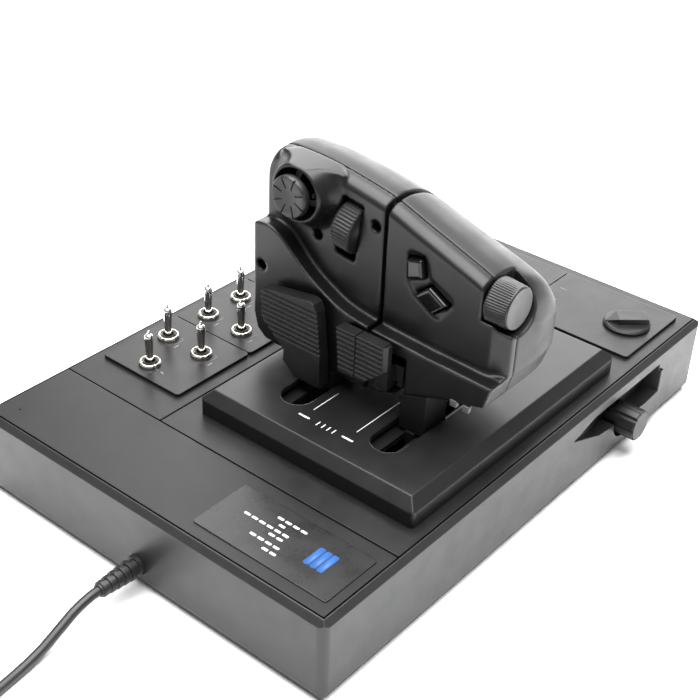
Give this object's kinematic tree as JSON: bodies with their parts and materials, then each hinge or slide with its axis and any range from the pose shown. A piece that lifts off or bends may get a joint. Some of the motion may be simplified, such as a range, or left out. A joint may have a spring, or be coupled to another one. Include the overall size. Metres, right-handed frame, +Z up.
{
  "type": "flight throttle controller",
  "caption": "Desktop throttle unit: flat base with toggle switches, selector and tension knobs, and two sliding hand grips with thumb controls and finger lifts.",
  "frame": {"origin": "centre of the base outline, on the underside of the base tray", "axes": "+X to the user's right, +Y away from the user towards the cable, +Z up"},
  "size_m": [0.2153, 0.4663, 0.159],
  "materials": {
    "deck_plastic": "satin moulded ABS",
    "tray_plastic": "satin moulded ABS",
    "panel_plastic": "fine matt sheet",
    "plate_film": "matt printed film",
    "grip_plastic": "satin soft-touch",
    "control_plastic": "satin moulded",
    "button_gloss": "polished",
    "bright_metal": "bright plated",
    "switch_body": "moulded switch case",
    "steel": "ground",
    "acetal": "black acetal",
    "frame_plastic": "glass-filled moulding",
    "board": "solder mask",
    "sensor": "moulded",
    "brake_felt": "friction bar",
    "rubber": "matt",
    "cable_jacket": "smooth PVC",
    "screw_black": "black oxide",
    "screw_steel": "zinc"
  },
  "bodies": {
    "base": {"base_tray": "tray_plastic", "deck_far": "deck_plastic", "deck_side": "deck_plastic", "deck_centre": "deck_plastic", "throttle_plinth": "tray_plastic", "slot_floor": "frame_plastic", "panel_toggle_far": "panel_plastic", "panel_toggle_near": "panel_plastic", "panel_side": "panel_plastic", "panel_mode": "panel_plastic", "panel_rear": "panel_plastic", "name_plate": "plate_film", "toggle_bodies": "switch_body", "toggle_nuts": "bright_metal", "mode_switch": "switch_body", "rail_rods": "steel", "rail_block_far": "frame_plastic", "rail_block_near": "frame_plastic", "rail_bumpers": "rubber", "main_board": "board", "position_sensors": "sensor", "feet": "rubber", "case_screws": "screw_steel", "cable_boot": "cable_jacket", "cable": "cable_jacket", "cable_coil": "cable_jacket", "cable_tail": "cable_jacket", "usb_plug": "cable_jacket", "usb_shell": "bright_metal"},
    "throttle_right": {"carriage_right": "acetal", "arm_right": "frame_plastic", "grip_right_shell": "grip_plastic", "grip_right_face": "grip_plastic", "grip_right_screws": "screw_black"},
    "throttle_left": {"carriage_left": "acetal", "arm_left": "frame_plastic", "grip_left_shell": "grip_plastic", "grip_left_face": "grip_plastic", "grip_left_screws": "screw_black"},
    "stick_gimbal": {"stick_gimbal": "frame_plastic"},
    "stick_cap": {"stick_cap": "control_plastic"},
    "scroll_wheel": {"scroll_wheel": "control_plastic"},
    "paddle_right": {"paddle_right": "control_plastic"},
    "paddle_left": {"paddle_left": "control_plastic"},
    "grip_knob": {"grip_knob": "control_plastic"},
    "button_upper": {"button_upper": "button_gloss"},
    "button_lower": {"button_lower": "button_gloss"},
    "mode_knob": {"mode_knob": "control_plastic"},
    "tension_knob": {"tension_knob": "control_plastic", "tension_screw": "steel"},
    "brake_bar": {"brake_bar": "brake_felt"},
    "toggle_lever_1": {"toggle_lever_1": "bright_metal"},
    "toggle_lever_2": {"toggle_lever_2": "bright_metal"},
    "toggle_lever_3": {"toggle_lever_3": "bright_metal"},
    "toggle_lever_4": {"toggle_lever_4": "bright_metal"},
    "toggle_lever_5": {"toggle_lever_5": "bright_metal"},
    "toggle_lever_6": {"toggle_lever_6": "bright_metal"},
    "toggle_lever_7": {"toggle_lever_7": "bright_metal"}
  },
  "joints": [
    {"name": "throttle_right_slide", "type": "slide", "parent": "base", "child": "throttle_right", "axis": [0, 1, 0], "range_m": [-0.076, 0.019]},
    {"name": "throttle_left_slide", "type": "slide", "parent": "base", "child": "throttle_left", "axis": [0, 1, 0], "range_m": [-0.076, 0.019]},
    {"name": "stick_pitch", "type": "hinge", "parent": "throttle_right", "child": "stick_gimbal", "pos_m": [0.01, 0.03, 0.1455], "axis": [1, 0, 0], "range_deg": [-6, 6], "stiffness_Nm_per_rad": 0.03},
    {"name": "stick_yaw", "type": "hinge", "parent": "stick_gimbal", "child": "stick_cap", "pos_m": [0.01, 0.03, 0.1455], "axis": [0, 0, 1], "range_deg": [-6, 6], "stiffness_Nm_per_rad": 0.03},
    {"name": "scroll_turn", "type": "hinge", "parent": "throttle_right", "child": "scroll_wheel", "pos_m": [-0.0122, 0.028, 0.133], "axis": [0.9903, 0, 0.1392], "continuous": true},
    {"name": "paddle_right_lift", "type": "slide", "parent": "throttle_right", "child": "paddle_right", "axis": [0, 0, 1], "range_m": [0, 0.006], "stiffness_N_per_m": 300, "springref_m": -0.003},
    {"name": "paddle_left_lift", "type": "slide", "parent": "throttle_left", "child": "paddle_left", "axis": [0, 0, 1], "range_m": [0, 0.006], "stiffness_N_per_m": 300, "springref_m": -0.003},
    {"name": "grip_knob_turn", "type": "hinge", "parent": "throttle_left", "child": "grip_knob", "pos_m": [-0.09, 0.0224, 0.1225], "axis": [-1, 0, 0], "range_deg": [-140, 140]},
    {"name": "button_upper_press", "type": "slide", "parent": "throttle_left", "child": "button_upper", "axis": [0, -1, 0], "range_m": [0, 0.0015], "stiffness_N_per_m": 800, "springref_m": -0.001},
    {"name": "button_lower_press", "type": "slide", "parent": "throttle_left", "child": "button_lower", "axis": [0, -1, 0], "range_m": [0, 0.0015], "stiffness_N_per_m": 800, "springref_m": -0.001},
    {"name": "toggle_lever_1_flick", "type": "hinge", "parent": "base", "child": "toggle_lever_1", "pos_m": [0.0725, 0.0739, 0.0441], "axis": [1, 0, 0], "range_deg": [-11, 11]},
    {"name": "toggle_lever_2_flick", "type": "hinge", "parent": "base", "child": "toggle_lever_2", "pos_m": [0.0833, 0.0514, 0.0441], "axis": [1, 0, 0], "range_deg": [-11, 11]},
    {"name": "toggle_lever_3_flick", "type": "hinge", "parent": "base", "child": "toggle_lever_3", "pos_m": [0.0605, 0.0514, 0.0441], "axis": [1, 0, 0], "range_deg": [-11, 11]},
    {"name": "toggle_lever_4_flick", "type": "hinge", "parent": "base", "child": "toggle_lever_4", "pos_m": [0.0833, 0.0235, 0.0441], "axis": [1, 0, 0], "range_deg": [-11, 11]},
    {"name": "toggle_lever_5_flick", "type": "hinge", "parent": "base", "child": "toggle_lever_5", "pos_m": [0.0605, 0.0235, 0.0441], "axis": [1, 0, 0], "range_deg": [-11, 11]},
    {"name": "toggle_lever_6_flick", "type": "hinge", "parent": "base", "child": "toggle_lever_6", "pos_m": [0.0833, 0, 0.0441], "axis": [1, 0, 0], "range_deg": [-11, 11]},
    {"name": "toggle_lever_7_flick", "type": "hinge", "parent": "base", "child": "toggle_lever_7", "pos_m": [0.0605, 0, 0.0441], "axis": [1, 0, 0], "range_deg": [-11, 11]},
    {"name": "mode_turn", "type": "hinge", "parent": "base", "child": "mode_knob", "pos_m": [-0.0776, -0.1159, 0.05], "axis": [0, 0, 1], "range_deg": [-45, 45]},
    {"name": "tension_turn", "type": "hinge", "parent": "base", "child": "tension_knob", "pos_m": [-0.105, -0.077, 0.019], "axis": [1, 0, 0], "range_deg": [0, 250]},
    {"name": "brake_slide", "type": "slide", "parent": "base", "child": "brake_bar", "axis": [1, 0, 0], "range_m": [0, 0.0022]}
  ],
  "couplings": [
    {"joint": "brake_slide", "follows": "tension_turn", "m_per_rad": 0.0005}
  ]
}
